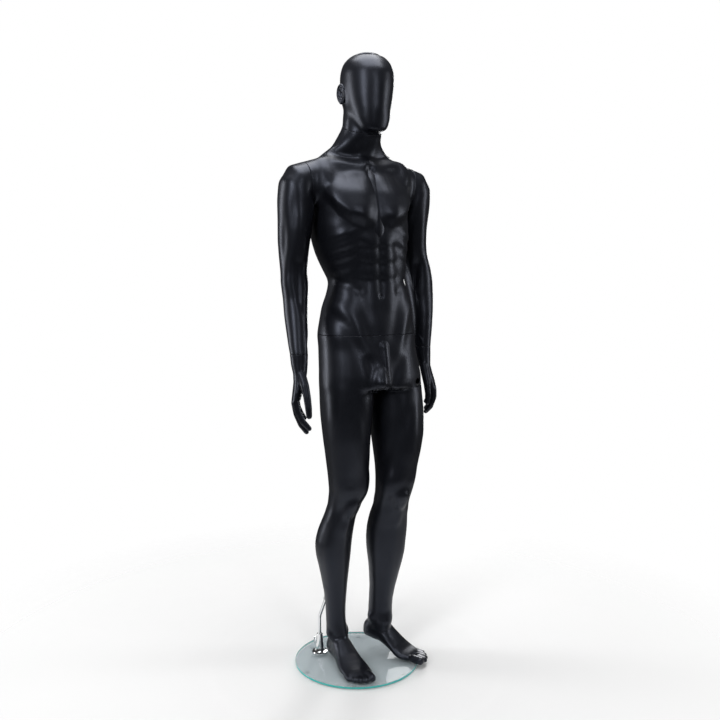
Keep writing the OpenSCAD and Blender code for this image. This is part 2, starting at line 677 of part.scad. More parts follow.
module glass_disc()
  color(GLASS) difference() {
    rotate_extrude($fn = 96)
      polygon([
        [0, bumper_h],
        [glass_d / 2 - 0.8, bumper_h],
        [glass_d / 2, bumper_h + 0.8],
        [glass_d / 2, glass_top - 0.8],
        [glass_d / 2 - 0.8, glass_top],
        [0, glass_top]
      ]);
    translate([FLANGE_X, FLANGE_Y, 0]) cylinder(r = 4, h = 20);
  }

module base_bumpers()
  color(CLEAR) {
    bumper();
    for (i = [0 : 5])
      rotate([0, 0, 60 * i]) translate([bumper_ring_r, 0, 0]) bumper();
  }

module bumper()
  rotate_extrude()
    polygon([
      [0, 0],
      [bumper_d / 2 - 1, 0],
      [bumper_d / 2, bumper_h],
      [0, bumper_h]
    ]);

head_shell();
torso_shell();
hips_right_leg_shell();
left_leg_shell();
right_arm_shell();
left_arm_shell();
right_hand();
left_hand();
head_neck_plate();
torso_neck_plate();
torso_right_shoulder_plate();
torso_left_shoulder_plate();
right_arm_shoulder_plate();
left_arm_shoulder_plate();
right_arm_wrist_plate();
left_arm_wrist_plate();
torso_waist_plate();
hips_waist_plate();
hips_thigh_plate();
left_leg_thigh_plate();
neck_socket();
neck_spigot();
right_shoulder_socket();
right_shoulder_spigot();
left_shoulder_socket();
left_shoulder_spigot();
right_wrist_socket();
right_wrist_spigot();
left_wrist_socket();
left_wrist_spigot();
waist_socket();
waist_spigot();
thigh_socket();
thigh_spigot();
head_screws();
torso_screws();
hips_screws();
left_leg_screws();
right_arm_screws();
left_arm_screws();
right_hand_screws();
left_hand_screws();
calf_socket();
support_rod();
base_flange();
thumbscrew();
flange_gasket();
flange_screw();
screw_washer();
glass_disc();
base_bumpers();
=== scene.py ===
"""A full body display mannequin on a glass base: the sculpted black skin, the stand and the studio.

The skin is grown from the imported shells. Each shell and its neighbours are wrapped as one closed form,
smoothed, given its muscles as relief, and cut again at the joints of the record. Lengths are metres unless a
comment says mm. Side -1 is the figure's right and side 1 its left. In the reliefs u and v run across the body
and h up it, in mm, and b is a bulge and r a ridge on a limb.
"""
import json
import math
import bmesh
import bpy
import numpy as np
import openvdb
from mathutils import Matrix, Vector


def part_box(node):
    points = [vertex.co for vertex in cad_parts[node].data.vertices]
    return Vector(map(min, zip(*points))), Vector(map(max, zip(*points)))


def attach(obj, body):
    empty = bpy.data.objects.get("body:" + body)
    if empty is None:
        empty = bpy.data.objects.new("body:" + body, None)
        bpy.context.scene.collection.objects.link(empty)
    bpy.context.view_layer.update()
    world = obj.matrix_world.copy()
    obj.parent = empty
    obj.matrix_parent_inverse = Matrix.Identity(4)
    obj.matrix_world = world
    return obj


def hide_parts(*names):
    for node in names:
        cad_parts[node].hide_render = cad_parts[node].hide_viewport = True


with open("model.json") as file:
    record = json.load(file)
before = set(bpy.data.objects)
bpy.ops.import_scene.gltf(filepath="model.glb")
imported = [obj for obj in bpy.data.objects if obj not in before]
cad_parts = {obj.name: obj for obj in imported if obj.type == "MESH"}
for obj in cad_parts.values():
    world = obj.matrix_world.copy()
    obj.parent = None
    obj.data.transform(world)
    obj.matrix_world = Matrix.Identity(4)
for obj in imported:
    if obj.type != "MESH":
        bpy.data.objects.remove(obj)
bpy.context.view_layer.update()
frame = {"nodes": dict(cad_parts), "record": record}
MM = 0.001
JOINTS = {j["name"]: j for j in frame["record"]["behaviour"]["joints"]}


def joint_place(name):
    return np.array(JOINTS[name]["pos_m"], float)


def joint_axis(name):
    axis = np.array(JOINTS[name]["axis"], float)
    return axis / np.linalg.norm(axis)


WAIST = joint_place("waist_turn")
NECK = joint_place("neck_turn")
THIGH = joint_place("left_thigh_turn")
SHOULDER = {-1: joint_place("right_shoulder_turn"), 1: joint_place("left_shoulder_turn")}
WRIST = {-1: joint_place("right_wrist_turn"), 1: joint_place("left_wrist_turn")}

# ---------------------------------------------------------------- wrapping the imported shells

# Distances are true this many cells from a face.
BAND = 3
# Half of the seam between two bodies, the width and depth of the turned-in rim, and its rounding.
HALF_GAP = 0.3 * MM
RIM = 4 * MM
RIM_DEPTH = 7 * MM
EDGE = 0.9 * MM


def mesh_arrays(node):
    mesh = frame["nodes"][node].data
    points = np.empty(len(mesh.vertices) * 3, np.float32)
    mesh.vertices.foreach_get("co", points)
    mesh.calc_loop_triangles()
    tris = np.empty(len(mesh.loop_triangles) * 3, np.int32)
    mesh.loop_triangles.foreach_get("vertices", tris)
    points = points.reshape(-1, 3)
    tris = tris.reshape(-1, 3)
    keys = np.round(points / 1e-6).astype(np.int64)
    _, first, back = np.unique(keys, axis=0, return_index=True, return_inverse=True)
    tris = back.reshape(-1)[tris]
    good = (tris[:, 0] != tris[:, 1]) & (tris[:, 1] != tris[:, 2]) & (tris[:, 0] != tris[:, 2])
    return points[first], tris[good].astype(np.uint32)


def distances(nodes, voxel, low, size):
    """Signed distance to the nodes on a grid, exact within a few voxels of their faces."""
    field = np.full(size, BAND * voxel, np.float32)
    for node in nodes:
        points, tris = mesh_arrays(node)
        cells = openvdb.createLinearTransform(voxelSize=voxel)
        grid = openvdb.FloatGrid.createLevelSetFromPolygons(
            np.ascontiguousarray(points - low, np.float32), triangles=tris, transform=cells, halfWidth=BAND)
        one = np.empty(size, np.float32)
        grid.copyToArray(one, ijk=(0, 0, 0))
        np.minimum(field, one, out=field)
    return field


SWEEPS = 4


def reach_outside(wall):
    """Cells that can be reached from the grid's border without crossing a wall."""
    outside = np.zeros(wall.shape, bool)
    for axis in range(3):
        view = np.moveaxis(outside, axis, 0)
        view[0] = True
        view[-1] = True
    free = ~wall
    outside &= free
    for sweep in range(SWEEPS):
        for axis in range(3):
            out = np.moveaxis(outside, axis, 0)
            open_ = np.moveaxis(free, axis, 0)
            for i in range(1, out.shape[0]):
                out[i] |= out[i - 1] & open_[i]
            for i in range(out.shape[0] - 2, -1, -1):
                out[i] |= out[i + 1] & open_[i]
    return outside


def next_to(mask):
    near = mask.copy()
    for axis in range(3):
        a = np.moveaxis(mask, axis, 0)
        b = np.moveaxis(near, axis, 0)
        b[1:] |= a[:-1]
        b[:-1] |= a[1:]
    return near


# How near a cell lies to a face, in cells, to count as wall, as thick wall for the first flood, or as plug.
WALL = 0.35
THIN_WALL = 1.1
PLUG = 0.55


def wrap(shells, plugs, voxel, low, high, trim=None):
    """One closed surface round the shells, with their hollows filled. Returns points and quads."""
    size = tuple(int(math.ceil(v)) for v in (high - low) / voxel)
    shell = distances(shells, voxel, low, size)
    wall = shell < WALL * voxel
    if plugs:
        plug = distances(plugs, voxel, low, size) < PLUG * voxel
    else:
        plug = np.zeros(size, bool)
    thick = shell < THIN_WALL * voxel
    outside = reach_outside(thick | plug)
    outside = next_to(outside) & ~wall & ~plug
    if "support_rod" in plugs:
        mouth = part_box("calf_socket")[0][2]
        levels = low[2] + voxel * np.arange(size[2])
        outside |= plug & ~wall & (levels < mouth)[None, None, :]
    if trim is not None:
        outside |= trim(low, voxel, size)
    cap = 2 * MM
    least = 0.05 * MM
    field = np.clip(np.abs(shell), least, cap)
    field[~outside & (shell > 0)] = least
    skin = next_to(outside) & ~outside
    field = np.where(outside, field, np.where(skin, -field, -cap)).astype(np.float32)
    for axis in range(3):
        f = np.moveaxis(field, axis, 0)
        f[1:-1] = (f[:-2] + 2 * f[1:-1] + f[2:]) / 4
        f[0] = cap
        f[-1] = cap
    grid = openvdb.FloatGrid(cap)
    grid.copyFromArray(field)
    points, _, quads = grid.convertToPolygons(isovalue=0, adaptivity=0)
    return points.astype(float) * voxel + low, quads.astype(np.int64)


# ---------------------------------------------------------------- smoothing a quad mesh

def edges_of(quads):
    pairs = np.concatenate([quads[:, [0, 1]], quads[:, [1, 2]], quads[:, [2, 3]], quads[:, [3, 0]]])
    pairs.sort(axis=1)
    key = np.unique(pairs[:, 0] * (1 << 32) + pairs[:, 1])
    return key >> 32, key & 0xFFFFFFFF


def average_round(values, a, b, count):
    n = len(values)
    flat = values.reshape(n, -1)
    out = np.empty_like(flat)
    for k in range(flat.shape[1]):
        col = flat[:, k]
        out[:, k] = np.bincount(a, col[b], n) + np.bincount(b, col[a], n)
    return (out / count[:, None]).reshape(values.shape)


def normals_of(points, quads):
    p = points[quads]
    face = np.cross(p[:, 2] - p[:, 0], p[:, 3] - p[:, 1])
    total = np.zeros_like(points)
    for k in range(3):
        for corner in range(4):
            total[:, k] += np.bincount(quads[:, corner], face[:, k], len(points))
    return total / np.maximum(np.linalg.norm(total, axis=1), 1e-12)[:, None]


RATE = 0.8
MOST_PASSES = 140


def smooth(points, quads, reach, weight, voxel):
    """Blurs the surface over about `reach`, then gives back the volume that the blur took."""
    a, b = edges_of(quads)
    count = np.maximum(np.bincount(a, minlength=len(points)) + np.bincount(b, minlength=len(points)), 1)
    passes = int(round((reach / voxel) ** 2 * 2 / RATE))
    passes = min(max(passes, 2), MOST_PASSES)
    rate = RATE * weight[:, None]
    soft = points.copy()
    for turn in range(passes):
        soft += rate * (average_round(soft, a, b, count) - soft)
    normal = normals_of(soft, quads)
    lost = ((points - soft) * normal).sum(1)
    for turn in range(passes):
        lost += RATE * (average_round(lost, a, b, count) - lost)
    return soft + normal * lost[:, None]


# ---------------------------------------------------------------- relief

def step(x, low, high):
    """Rises smoothly from 0 at low to 1 at high."""
    t = np.clip((x - low) / (high - low), 0, 1)
    return t * t * (3 - 2 * t)


# A stroke is drawn this much wider and lower than its numbers say.
SOFT = 1.6
GENTLE = 0.75


def swell(x, y, at, size, height, turn=0, power=1):
    """A soft rounded bump (or a hollow, with a negative height)."""
    c, s = math.cos(math.radians(turn)), math.sin(math.radians(turn))
    dx, dy = x - at[0], y - at[1]
    r2 = ((dx * c + dy * s) / size[0]) ** 2 + ((dy * c - dx * s) / size[1]) ** 2
    return height * np.exp(-0.5 * r2 ** power)


def stroke(x, y, points, width, height):
    """A ridge (or a groove, with a negative height) along a line through the points."""
    best = np.full(x.shape, 1e9)
    for (x0, y0), (x1, y1) in zip(points[:-1], points[1:]):
        lx, ly = x1 - x0, y1 - y0
        t = np.clip(((x - x0) * lx + (y - y0) * ly) / (lx * lx + ly * ly), 0, 1)
        best = np.minimum(best, (x - x0 - t * lx) ** 2 + (y - y0 - t * ly) ** 2)
    return GENTLE * height * np.exp(-0.5 * best / (SOFT * width) ** 2)


def midline(z):
    """The middle of the body in mm, which drifts from the neck to the hips."""
    w, n = WAIST / MM, NECK / MM
    return np.interp(z, [w[2] - 130, w[2], w[2] + 150, w[2] + 250, w[2] + 340, n[2]],
                     [w[0] + 8, w[0] + 2, w[0] + 3, w[0] - 8, n[0] - 1, n[0]])


def torso_relief(p, normal):
    """Chest, belly and back. Heights are mm above the waist seam, and u is mm to the figure's left."""
    u = p[:, 0] / MM - midline(p[:, 2] / MM)
    h = (p[:, 2] - WAIST[2]) / MM
    front = step(-normal[:, 1], 0.02, 0.5)
    back = step(normal[:, 1], 0.02, 0.5)
    out = np.zeros(len(p))
    for side in (-1, 1):
        v = u * side
        rim = np.interp(v, [-20, 12, 45, 80, 112, 140], [330, 326, 318, 327, 356, 400])
        over = h - rim
        chest = step(over, -16, 30) * (1 - step(over, 30, 175))
        out += front * 15 * chest * step(v, -6, 56) * (1 - step(v, 112, 160))
        out += front * stroke(v, h, [(30, 306), (52, 301), (84, 308), (118, 336)], 9, -2.5)
        out += front * swell(v, h, (62, 350), (34, 18), 3, 8)
        out += front * stroke(v, h, [(16, 480), (60, 490), (108, 505), (138, 512)], 7, 5)
        out += front * swell(v, h, (58, 516), (30, 10), -6, 8)
        out += front * swell(v, h, (96, 470), (26, 20), -4, 25)
        for k, (at, tall) in enumerate([(290, 4.5), (258, 4), (226, 3.5), (196, 2.5)]):
            out += swell(v, h, (104 - 3 * k, at), (24, 9), tall, -24) * step(-normal[:, 1], -0.4, 0.3)
        out += front * stroke(v, h, [(24, 292), (42, 276), (66, 232), (88, 180)], 9, -2.6)
        for at, tall, wide in [(268, 20, 25), (226, 18, 27), (182, 20, 28), (112, 38, 25)]:
            out += front * swell(v, h, (31, at), (wide, tall), 4.5, 0, 1.3)
        for at in (248, 204, 158):
            out += front * stroke(v, h, [(8, at), (54, at + 5)], 5, -2.5)
        out += front * stroke(v, h, [(66, 262), (64, 190), (60, 130), (48, 60), (38, 0)], 9, -4)
        out += front * swell(v, h, (98, 112), (30, 42), 6.5, 12)
        out += front * stroke(v, h, [(128, 166), (92, 146), (66, 128)], 6, -4.5)
        out += front * stroke(v, h, [(150, 92), (120, 82), (92, 52), (78, 8), (58, -50)], 10, 6)
        out += front * stroke(v, h, [(138, 62), (104, 24), (74, -36), (40, -96), (22, -130)], 8, -5)
        out += back * stroke(v, h, [(27, 20), (26, 120), (24, 240)], 17, 7)
        out += back * swell(v, h, (74, 395), (42, 58), 8, 12)
        out += back * stroke(v, h, [(34, 458), (42, 400), (62, 338)], 9, -5)
        out += back * stroke(v, h, [(20, 500), (80, 470), (140, 470)], 14, 4)
        out += back * swell(v, h, (98, 280), (34, 78), 7, 8)
        out += back * stroke(v, h, [(60, 330), (110, 345), (140, 380)], 9, -3)
        out += back * stroke(v, h, [(0, 545), (60, 525), (124, 500)], 18, 5)
        out += back * swell(v, h, (33, 14), (11, 11), -3.5)
        out += back * swell(v, h, (98, 88), (32, 36), 5, 10)
        out += step(-normal[:, 1], -0.3, 0.5) * stroke(v, h, [(10, 488), (24, 540), (50, 600)], 8, 5)
    out += front * stroke(u, h, [(0, 470), (0, 300), (0, 130)], 6, -4)
    out += front * swell(u, h, (0, 477), (10, 12), -7)
    out += front * swell(u, h, (0, 548), (10, 24), 2.5)
    out += front * swell(u, h, (0, 112), (4.5, 5), -5)
    out += back * stroke(u, h, [(0, 10), (0, 250), (0, 500)], 9, -7)
    out += back * swell(u, h, (0, 520), (16, 18), 3)
    return out


def hips_relief(p, normal):
    """Buttocks and groin, in the same coordinates as the torso."""
    u = p[:, 0] / MM - midline(p[:, 2] / MM)
    h = (p[:, 2] - WAIST[2]) / MM
    back = step(normal[:, 1], 0.0, 0.5)
    front = step(-normal[:, 1], 0.05, 0.5)
    out = np.zeros(len(p))
    for side in (-1, 1):
        v = u * side
        out += back * swell(v, h, (72, -118), (42, 46), 11, 0, 1.4)
        out += back * stroke(v, h, [(24, -196), (70, -202), (112, -184)], 9, -6)
        out += back * swell(v, h, (128, -110), (18, 30), -5)
        out += front * swell(v, h, (70, -110), (26, 50), 3, -18)
    x = p[:, 0] / MM - (WAIST[0] / MM - 14)
    out += front * (swell(x, h, (0, -118), (17, 20), 9, 0, 1.2) + swell(x, h, (-2, -142), (14, 12), 7))
    out += front * stroke(x, h, [(-34, -70), (-30, -120), (-16, -156)], 7, -3)
    out += front * stroke(x, h, [(44, -80), (38, -120), (20, -156)], 9, -2)
    out += back * stroke(u, h, [(0, -36), (0, -110), (0, -180)], 8, -13)
    out += back * swell(u, h, (0, -14), (22, 16), -2.5)
    return out


def section_middle(p, keep, cell=12 * MM):
    """Middle and half sizes of a limb at each height."""
    z = p[keep, 2]
    bins = np.floor(z / cell).astype(int)
    low = bins.min()
    count = bins.max() - low + 1
    out = np.full((count, 4), np.nan)
    order = np.argsort(bins)
    cuts = np.searchsorted(bins[order], np.arange(low, low + count + 1))
    q = p[keep][order]
    for i in range(count):
        part = q[cuts[i]:cuts[i + 1]]
        if len(part):
            a, b = part.min(0), part.max(0)
            out[i] = [(a[0] + b[0]) / 2, (a[1] + b[1]) / 2, (b[0] - a[0]) / 2, (b[1] - a[1]) / 2]
    for k in range(4):
        good = ~np.isnan(out[:, k])
        out[:, k] = np.interp(np.arange(count), np.flatnonzero(good), out[good, k])
        line = np.pad(out[:, k], 3, mode="edge")
        out[:, k] = np.convolve(line, np.ones(7) / 7, mode="valid")
    at = (low + np.arange(count) + 0.5) * cell
    return [np.interp(p[:, 2], at, out[:, k]) for k in range(4)]


def limb_angles(p, keep, side):
    """Angle in degrees round the limb from its front, positive outwards, and mm round it per degree."""
    cx, cy, rx, ry = section_middle(p, keep)
    across, ahead = (p[:, 0] - cx) * side, -(p[:, 1] - cy)
    angle = np.degrees(np.arctan2(across / rx, ahead / ry))
    return angle, np.radians(1) * (rx + ry) / 2 / MM


def around(angle, centre):
    return (angle - centre + 180) % 360 - 180


def bulge(angle, z, centre, at, wide, tall, height, power=1):
    """A swelling on a limb: its place as an angle and a height, its size in degrees and mm."""
    return swell(around(angle, centre), z, (0, at), (wide, tall), height, 0, power)


def trace(angle, girth, z, points, width, height):
    """A ridge or a groove along a limb, through (angle, height) points."""
    out = np.full(z.shape, 1e9)
    for (a0, z0), (a1, z1) in zip(points[:-1], points[1:]):
        x = around(angle, a0) * girth
        lx, ly = (a1 - a0) * girth, z1 - z0
        t = np.clip((x * lx + (z - z0) * ly) / (lx * lx + ly * ly), 0, 1)
        out = np.minimum(out, (x - t * lx) ** 2 + (z - z0 - t * ly) ** 2)
    return GENTLE * height * np.exp(-0.5 * out / (SOFT * width) ** 2)


def leg_relief(p, keep, side, knee, ankle, crotch):
    """Thigh, knee, calf and ankle. Heights are in mm; t and c are how tall the thigh and the calf are."""
    angle, girth = limb_angles(p, keep, side)
    z = p[:, 2] / MM
    t = crotch - knee
    c = knee - ankle
    b = lambda *a: bulge(angle, z, *a)
    r = lambda *a: trace(angle, girth, z, *a)
    out = b(52, knee + .5 * t, 30, .26 * t, 5) + b(2, knee + .58 * t, 20, .28 * t, 5)
    out += b(-44, knee + .16 * t, 24, .1 * t, 8, 1.2) + b(40, knee + .2 * t, 18, .11 * t, 4.5)
    out += b(-95, knee + .72 * t, 34, .2 * t, 4)
    out += r([(28, knee + .85 * t), (26, knee + .5 * t), (20, knee + .22 * t)], 8, -2.6)
    out += r([(30, knee + 1.02 * t), (-28, knee + .62 * t), (-72, knee + .28 * t)], 9, -3.2)
    out += r([(92, knee + .95 * t), (98, knee + .5 * t), (96, knee + .15 * t)], 9, -3)
    out += b(0, knee, 23, 24, 7, 2) + r([(-22, knee + 40), (0, knee + 46), (22, knee + 40)], 8, -2.5)
    out += b(0, knee - .115 * c, 9, 16, 3.5) + b(0, knee - .16 * c, 10, 12, 3)
    out += b(38, knee - 2, 13, 24, -4.5) + b(-38, knee - 2, 13, 24, -4.5)
    out += r([(-4, knee - .2 * c), (-10, knee - .5 * c), (-8, knee - .88 * c)], 6, 2.8)
    out += r([(-34, knee - .25 * c), (-36, knee - .6 * c)], 11, -2)
    out += b(-118, knee - .32 * c, 30, .15 * c, 8, 1.2) + b(128, knee - .29 * c, 28, .14 * c, 6, 1.2)
    out += r([(180, knee - .12 * c), (180, knee - .4 * c)], 7, -3)
    out += b(38, knee - .36 * c, 20, .2 * c, 3.5) + r([(62, knee - .15 * c), (72, knee - .6 * c)], 7, -2.2)
    out += b(156, knee + .42 * t, 18, .26 * t, 5) + b(-154, knee + .42 * t, 18, .26 * t, 5)
    out += r([(180, knee + .75 * t), (180, knee + .2 * t)], 9, -3)
    out += b(180, knee, 20, 34, -6) + r([(146, knee + 60), (142, knee - 10)], 6, 4)
    out += r([(-146, knee + 60), (-140, knee - 10)], 6, 4)
    out += b(-90, ankle + 6, 17, 12, 6, 1.3) + b(90, ankle - 5, 17, 12, 6, 1.3)
    out += b(142, ankle + 26, 16, 30, -4) + b(-142, ankle + 26, 16, 30, -4) + b(180, ankle + 40, 12, 44, 2)
    return out


def arm_relief(p, keep, side):
    """Deltoid, biceps, triceps, elbow and forearm. Heights run from the shoulder to the wrist."""
    angle, _ = limb_angles(p, keep, side)
    z = p[:, 2] / MM
    top, low = SHOULDER[side][2] / MM, WRIST[side][2] / MM
    full = top - low
    at = lambda f: top - f * full
    b = lambda *a: bulge(angle, z, *a)
    below = 1 - step(z, at(.0), at(-.1))
    out = b(80, at(.07), 50, 56, 6, 1.2) * below
    out += b(34, at(.2), 12, 44, -3) * below + b(128, at(.2), 12, 44, -3) * below
    out += b(2, at(.3), 30, 52, 6.5, 1.2) + b(178, at(.25), 34, 64, 5) + b(135, at(.24), 20, 48, 4)
    out += b(64, at(.33), 11, 50, -3) + b(-64, at(.33), 13, 50, -3)
    out += b(0, at(.475), 24, 12, -3) + b(178, at(.5), 16, 18, 4.5)
    out += b(52, at(.54), 24, 42, 6.5, 1.2) + b(-56, at(.57), 28, 44, 4.5)
    out += b(4, at(.62), 10, 56, -3) + b(118, at(.64), 11, 58, -2.5)
    out += b(150, at(.965), 17, 13, 3.5) + b(-4, at(.9), 9, 34, 1.6)
    return out


def head_relief(p, normal):
    """The egg keeps its plain face, with a soft ridge down its middle."""
    low, high = (np.array(v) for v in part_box("head_shell"))
    mid = (low + high) / 2
    u = (p[:, 0] - mid[0]) / MM
    z = (p[:, 2] - NECK[2]) / MM
    level = 1 - np.abs(normal[:, 2])
    return step(-normal[:, 1], -0.2, 0.6) * swell(u, z, (0, 70), (13, 44), 2) * level


def neck_relief(p, normal):
    """The two cords at the front of the neck, in the same coordinates as the torso."""
    u = p[:, 0] / MM - midline(p[:, 2] / MM)
    h = (p[:, 2] - WAIST[2]) / MM
    front = step(-normal[:, 1], -0.3, 0.5)
    cord = [(10, 488), (24, 540), (50, 600), (60, 640)]
    out = np.zeros(len(p))
    for side in (-1, 1):
        out += front * stroke(u * side, h, cord, 8, 5)
    return out


def plain(p, normal):
    """No relief: the wrapped shape is kept."""
    return np.zeros(len(p))


# ---------------------------------------------------------------- cutting at the joints

def cut(bm, faces, place, normal):
    """Cuts these faces by a plane, takes off their far side and returns the edges of the opening."""
    place, normal = Vector(place), Vector(normal)
    geom = list({v for f in faces for v in f.verts}) + list({e for f in faces for e in f.edges}) + faces
    stop = place - normal * (HALF_GAP + EDGE)
    made = bmesh.ops.bisect_plane(bm, geom=geom, plane_co=stop, plane_no=normal, clear_outer=True, dist=1e-7)
    ring = [e for e in made["geom_cut"] if isinstance(e, bmesh.types.BMEdge) and e.is_valid and e.is_boundary]
    return ring, normal


def parts_of(count, a, b):
    """A number for each point that is the same throughout one connected part."""
    root = np.arange(count)
    while True:
        ra, rb = root[a], root[b]
        low, high = np.minimum(ra, rb), np.maximum(ra, rb)
        if (low == high).all():
            return root
        np.minimum.at(root, high, low)
        while True:
            up = root[root]
            if (up == root).all():
                break
            root = up


def largest(bm):
    """Keeps only the largest connected part."""
    bm.verts.index_update()
    a = np.array([e.verts[0].index for e in bm.edges])
    b = np.array([e.verts[1].index for e in bm.edges])
    root = parts_of(len(bm.verts), a, b)
    keep = np.bincount(root).argmax()
    bmesh.ops.delete(bm, geom=[v for v, r in zip(bm.verts, root) if r != keep], context="VERTS")


def rim(bm, ring, normal):
    """Rounds the edge at a joint, turns it inwards and closes the socket behind the plate."""
    ring = [e for e in ring if e.is_valid and e.is_boundary]
    if not ring:
        return
    verts = {v for e in ring for v in e.verts}
    middle = sum((v.co for v in verts), Vector()) / len(verts)
    turns = [(0.3 * EDGE, 0.7 * EDGE), (0.7 * EDGE, 0.3 * EDGE), (RIM, 0), (0, -RIM_DEPTH - EDGE)]
    for inward, along in turns:
        made = bmesh.ops.extrude_edge_only(bm, edges=ring)["geom"]
        ring = [g for g in made if isinstance(g, bmesh.types.BMEdge) and g.is_boundary]
        verts = {v for e in ring for v in e.verts}
        moves = {}
        for v in verts:
            out = Vector()
            for e in v.link_edges:
                if e.is_boundary:
                    d = e.verts[1].co - e.verts[0].co
                    side = d.cross(normal)
                    if side.dot(v.co - middle) < 0:
                        side = -side
                    out += side
            moves[v] = -out.normalized() * inward + normal * along
        for v, move in moves.items():
            v.co += move
    bmesh.ops.holes_fill(bm, edges=ring)


# ---------------------------------------------------------------- the pieces of skin

PLATES = [n for n in frame["nodes"] if n.endswith("_plate")]


# How far from a joint plane its cut looks for faces, in cells.
CUT_REACH = 7
# The wrap's grid starts this far above the floor, just below the soles.
LOWEST = 6 * MM


def piece(name, shells, own, body, voxel, reach, joints, relief, weight=None, plugs=(), trim=None):
    """One body's skin: wrapped, smoothed over `reach`, given its relief and cut at the joints."""
    plugs = PLATES + list(plugs)
    low, high = (np.array(v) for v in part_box(own))
    pad = 4 * reach + 6 * MM
    low, high = low - pad, high + pad
    low[2] = max(low[2], LOWEST)
    points, quads = wrap(shells, plugs, voxel, low, high, trim)
    soften = np.ones(len(points)) if weight is None else weight(points)
    points = smooth(points, quads, reach, soften, voxel)
    normal = normals_of(points, quads)
    if normal_faces_in(points, quads):
        normal = -normal
        quads = quads[:, ::-1]
    points = points + normal * (relief(points, normal) * MM)[:, None]
    mesh = bpy.data.meshes.new(name)
    mesh.vertices.add(len(points))
    mesh.vertices.foreach_set("co", points.astype(np.float32).ravel())
    mesh.loops.add(len(quads) * 4)
    mesh.loops.foreach_set("vertex_index", quads.astype(np.int32).ravel())
    mesh.polygons.add(len(quads))
    mesh.polygons.foreach_set("loop_start", np.arange(0, len(quads) * 4, 4, dtype=np.int32))
    mesh.update(calc_edges=True)
    bm = bmesh.new()
    bm.from_mesh(mesh)
    bm.faces.ensure_lookup_table()
    centres = points[quads].mean(1)
    picked = []
    for place, axis, *region in joints:
        near = np.abs((centres - place) @ np.array(axis)) < CUT_REACH * voxel
        if region:
            near &= region[0](centres)
        picked.append([bm.faces[i] for i in np.flatnonzero(near)])
    rings = [cut(bm, faces, place, axis) for faces, (place, axis, *_) in zip(picked, joints)]
    largest(bm)
    for ring in rings:
        rim(bm, *ring)
    bmesh.ops.holes_fill(bm, edges=[e for e in bm.edges if e.is_boundary])
    bmesh.ops.recalc_face_normals(bm, faces=bm.faces)
    bm.to_mesh(mesh)
    bm.free()
    mesh.polygons.foreach_set("use_smooth", np.ones(len(mesh.polygons), bool))
    mesh.set_sharp_from_angle(angle=math.radians(50))
    obj = bpy.data.objects.new(name, mesh)
    bpy.context.scene.collection.objects.link(obj)
    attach(obj, body)
    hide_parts(own)
    return obj


EAR_TALL = 30 * MM
EAR_WIDE = 17 * MM
# How far the ears stand from the head's middle, and where the CAD's ears are trimmed on each side.
EAR_OUT = 72 * MM
TRIM_RIGHT = EAR_OUT
TRIM_LEFT = 77 * MM
TRIM_REACH = 40 * MM


def ear_middle(side):
    """Where an ear's middle sits: out at the side of the head, level with the CAD's own ears."""
    low, high = (np.array(v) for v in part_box("head_shell"))
    mid = (low[0] + high[0]) / 2
    return np.array([mid + side * EAR_OUT, (low[1] + high[1]) / 2 + 7 * MM, NECK[2] + 97 * MM])


def trim_ears(low, voxel, size):
    """The cells of the CAD's plain ears, which the modelled ears take the place of."""
    x, y, z = (low[k] + voxel * np.arange(size[k]) for k in range(3))
    at = ear_middle(1)
    mid = (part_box("head_shell")[0][0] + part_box("head_shell")[1][0]) / 2
    side = (mid - x > TRIM_RIGHT) | (x - mid > TRIM_LEFT)
    near = (np.abs(z - at[2])[None, :] < TRIM_REACH) & (np.abs(y - at[1])[:, None] < TRIM_REACH)
    return side[:, None, None] & near[None]


